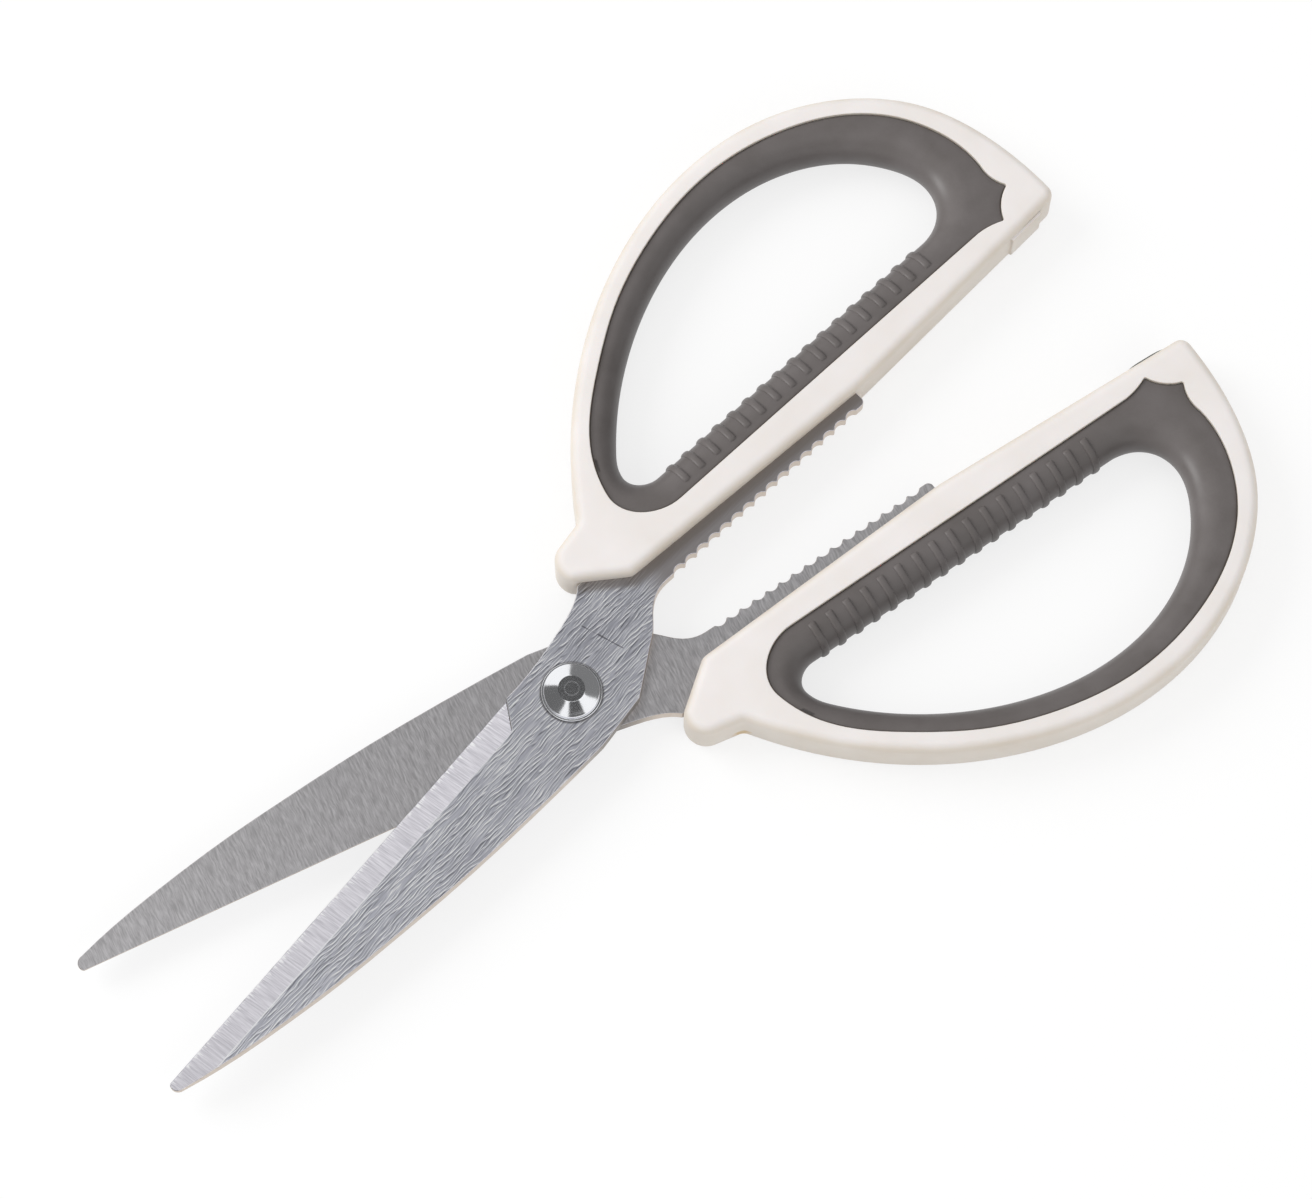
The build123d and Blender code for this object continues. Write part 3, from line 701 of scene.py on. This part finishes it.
def rivetProfile():
    rimTop = rivet["headBase"] + rivet["headRim"]
    # The flank is all but a cone, so that it mirrors the room in wedges
    flank = []
    for t in np.linspace(0.03, 1, 14):
        radius = rivet["discRadius"] + t * (rivet["flankRadius"] - rivet["discRadius"])
        slope = rivet["discHeight"] + t * (rivet["flankHeight"] - rivet["discHeight"])
        flank.append((radius, slope + 4 * t * (1 - t) * rivet["flankCrown"]))
    ring, level = rivet["ringRadius"], rivet["discHeight"]
    half, shoulder = rivet["ringHalf"], rivet["ringShoulder"]
    disc = [(0, level), (0.3, level), (ring - shoulder, level), (ring - half, level),
            (ring, level - rivet["ringDepth"]), (ring + half, level), (ring + shoulder, level),
            (rivet["discRadius"] - 0.08, level),
            (rivet["discRadius"] - 0.02, level), (rivet["discRadius"] + 0.02, level)]
    tail = [(r, capHeight(r, rivet["tailApex"], rivet["tailRadius"], rivet["tailBase"]))
            for r in np.linspace(rivet["tailRadius"], 0, 24)]
    side = roundProfile([flank[-1], (rivet["headRadius"] - 0.08, rimTop + 0.12), (rivet["headRadius"], rimTop - 0.1),
                         (rivet["headRadius"], rivet["headBase"] + 0.2),
                         (rivet["headRadius"] - 0.22, rivet["headBase"]),
                         (rivet["shank"], rivet["headBase"]), (rivet["shank"], rivet["tailBase"]),
                         (rivet["tailRadius"], rivet["tailBase"])], rivet["edgeRound"])
    return disc + flank[:-1] + side + tail[1:]


def ringProfile(inner, outer, low, high):
    middle = ((inner + outer) / 2, high)
    corners = [(outer, high), (outer, low), (inner, low), (inner, high)]
    return roundProfile([middle] + corners + [middle], rivet["edgeRound"])


washer = ringProfile(rivet["washerInner"], rivet["washerOuter"], rivet["washerLow"], rivet["washerHigh"])
burr = ringProfile(rivet["washerInner"], rivet["burrOuter"], rivet["burrLow"], rivet["burrHigh"])
for name, profile in (("pivot_rivet", rivetProfile()), ("rivet_washer", washer), ("rivet_burr", burr)):
    finishPiece(turnedMesh(profile, name), name + "_nickel", nickel, "back_half", [name])

# Rubber bumper let into the back handle's wall. What stands proud of the wall is a low dome
bumper = dict(edgeRound=0.2, sharpAngle=60, segments=3, middle=108.35, length=6.9, height=6.4,
              wall=((68.2, 5.6), (115.7, 7.9)), cutsAlong=12, cutsUp=8)
toTable = halfMatrix(halfSides["back"])
cuts = []
cutRows = ((0, bumper["middle"], bumper["length"], bumper["cutsAlong"]), (2, 0, bumper["height"], bumper["cutsUp"]))
for axis, middle, size, count in cutRows:
    direction = Vector([float(i == axis) for i in range(3)])
    for t in np.linspace(-0.5, 0.5, count + 1)[1:-1]:
        cuts.append((toTable @ (direction * (middle + t * size) * mm), toTable.to_3x3() @ direction))
mesh = roundedCopy("stop_bumper", bumper["edgeRound"] * mm, bumper["sharpAngle"], bumper["segments"], cuts)
fromTable = toTable.inverted()
for vertex in mesh.vertices:
    local = fromTable @ vertex.co / mm
    along, up = (local.x - bumper["middle"]) / bumper["length"] * 2, local.z / bumper["height"] * 2
    wall = np.interp(local.x, *zip(*bumper["wall"]))
    if local.y < wall:
        dome = max(0, 1 - along ** 4) * max(0, 1 - 0.5 * up ** 2)
        local.y = wall - (wall - local.y) * dome
        vertex.co = toTable @ (local * mm)
finishPiece(mesh, "stop_bumper_rubber", bumperRubber, "back_half", ["stop_bumper"])
print("rivet, washer, burr and bumper turned and moulded")

# A pale floor and a white surround: white to the camera and in reflections, plain light for everything
# else. Two broad lamps stand across from each other and don't show in reflections, and dark cards show
# only there, so that the metal has something to mirror. Directions are degrees from the row's X and above
# the floor
studio = dict(
    floorSize=3.0, floorGap=0.05 * mm, floorColour="#E4E4E4", shownShadow=0.25, surroundLight=0.68,
    lamps=(dict(name="keyLamp", direction=118, height=38, distance=1.3, size=0.9, power=9.0),
           dict(name="fillLamp", direction=-84, height=38, distance=1.3, size=0.9, power=2.0),
           # Lights the rubber alone, whose bends show a soft light from the left
           dict(name="rubberLamp", direction=147, height=24, distance=1.3, size=0.5, power=9.0,
                only=("front_grip", "back_grip"))),
    cards=(dict(name="cardAbove", direction=54, height=73.7, distance=0.9, size=(0.45, 0.45), grey=0.07, core=0.6),
           dict(name="cardRight", direction=12, height=32, distance=1.0, size=(1.8, 1.05), grey=0.2),
           dict(name="cardLeft", direction=148, height=36, distance=1.0, size=(1.25, 0.95), grey=0.14),
           dict(name="cardFront", direction=-115, height=54, distance=1.0, size=(0.62, 0.4), grey=0.08)),
)


def seesBackground(tree):
    path = addNode(tree, "ShaderNodeLightPath")
    seen = compute(tree, "MAXIMUM", path.outputs["Is Camera Ray"], path.outputs["Is Glossy Ray"])
    return compute(tree, "MAXIMUM", seen, path.outputs["Is Transmission Ray"])


def startTree(owner):
    owner.use_nodes = True
    owner.node_tree.nodes.clear()
    return owner.node_tree


def panelOf(name, size, material):
    mesh = bpy.data.meshes.new(name)
    x, y = size[0] / 2, size[1] / 2
    mesh.from_pydata([(-x, -y, 0), (x, -y, 0), (x, y, 0), (-x, y, 0)], [], [(0, 1, 2, 3)])
    mesh.materials.append(material)
    return bpy.data.objects.new(name, mesh)


# Sets an object up round the shears, facing them
def standRound(thing, place):
    direction, height = radians(place["direction"]), radians(place["height"])
    outward = Vector((cos(height) * cos(direction), cos(height) * sin(direction), sin(height)))
    thing.location = outward * place["distance"]
    thing.rotation_euler = outward.to_track_quat("Z", "Y").to_euler()
    bpy.context.scene.collection.objects.link(thing)


world = bpy.data.worlds.new("studioSurround")
bpy.context.scene.world = world
tree = startTree(world)
strength = mixValues(tree, seesBackground(tree), studio["surroundLight"], 1.0)
white = addNode(tree, "ShaderNodeBackground", wires={"Color": (1, 1, 1, 1), "Strength": strength})
addNode(tree, "ShaderNodeOutputWorld", wires={"Surface": white.outputs["Background"]})

floorMaterial = bpy.data.materials.new("paleStudioFloor")
tree = startTree(floorMaterial)
matte = addNode(tree, "ShaderNodeBsdfDiffuse", wires={"Color": toLinear(studio["floorColour"])})
faint = addNode(tree, "ShaderNodeBsdfDiffuse", wires={"Color": [studio["shownShadow"]] * 3 + [1]})
glow = addNode(tree, "ShaderNodeEmission", wires={"Color": (1, 1, 1, 1), "Strength": 1 - studio["shownShadow"]})
shown = addNode(tree, "ShaderNodeAddShader", wires={0: faint.outputs["BSDF"], 1: glow.outputs["Emission"]})
both = addNode(tree, "ShaderNodeMixShader", wires={
    "Fac": seesBackground(tree), 1: matte.outputs["BSDF"], 2: shown.outputs["Shader"]})
# From below the floor is clear, so that the underside shows
clear = addNode(tree, "ShaderNodeBsdfTransparent")
fromBelow = addNode(tree, "ShaderNodeNewGeometry").outputs["Backfacing"]
floorShader = addNode(tree, "ShaderNodeMixShader", wires={
    "Fac": fromBelow, 1: both.outputs["Shader"], 2: clear.outputs["BSDF"]})
addNode(tree, "ShaderNodeOutputMaterial", wires={"Surface": floorShader.outputs["Shader"]})
floor = panelOf("studioFloor", [studio["floorSize"]] * 2, floorMaterial)
floor.location.z = -studio["floorGap"]
bpy.context.scene.collection.objects.link(floor)

for card in studio["cards"]:
    dark = bpy.data.materials.new(card["name"])
    tree = startTree(dark)
    shade = (card["grey"], card["grey"], card["grey"], 1)
    if "core" in card:
        spot = addNode(tree, "ShaderNodeTexCoord").outputs["Object"]
        away = addNode(tree, "ShaderNodeVectorMath", {"operation": "LENGTH"}, {0: spot}).outputs["Value"]
        outwards = compute(tree, "DIVIDE", away, card["size"][0] / 2)
        shade = addRamp(tree, outwards, (card["core"], card["grey"]), (1.0, 1.0))
    tone = addNode(tree, "ShaderNodeEmission", wires={"Color": shade, "Strength": 1.0})
    addNode(tree, "ShaderNodeOutputMaterial", wires={"Surface": tone.outputs["Emission"]})
    panel = panelOf(card["name"], card["size"], dark)
    standRound(panel, card)
    panel.visible_camera = panel.visible_diffuse = panel.visible_shadow = panel.visible_transmission = False

for lamp in studio["lamps"]:
    light = bpy.data.lights.new(lamp["name"], "AREA")
    light.shape = "DISK"
    light.size = lamp["size"]
    light.energy = lamp["power"]
    stand = bpy.data.objects.new(lamp["name"], light)
    stand.visible_glossy = "only" in lamp
    if "only" in lamp:
        lit = bpy.data.collections.new(lamp["name"] + "Lit")
        for piece in pieces:
            if piece.name.startswith(lamp["only"]):
                lit.objects.link(piece)
        stand.light_linking.receiver_collection = lit
    standRound(stand, lamp)

azimuth, elevation = radians(camera["azimuth"]), radians(camera["elevation"])
back = Vector((sin(azimuth) * cos(elevation), -cos(azimuth) * cos(elevation), sin(elevation)))
lens = bpy.data.cameras.new("photoCamera")
lens.lens = camera["lens"]
viewer = bpy.data.objects.new("photoCamera", lens)
viewer.location = Vector(camera["lookAt"]) + back * camera["distance"]
viewer.rotation_euler = back.to_track_quat("Z", "Y").to_euler()
bpy.context.scene.collection.objects.link(viewer)
bpy.context.scene.camera = viewer
bpy.context.scene.view_settings.view_transform = "Standard"
print("camera and lamps placed")
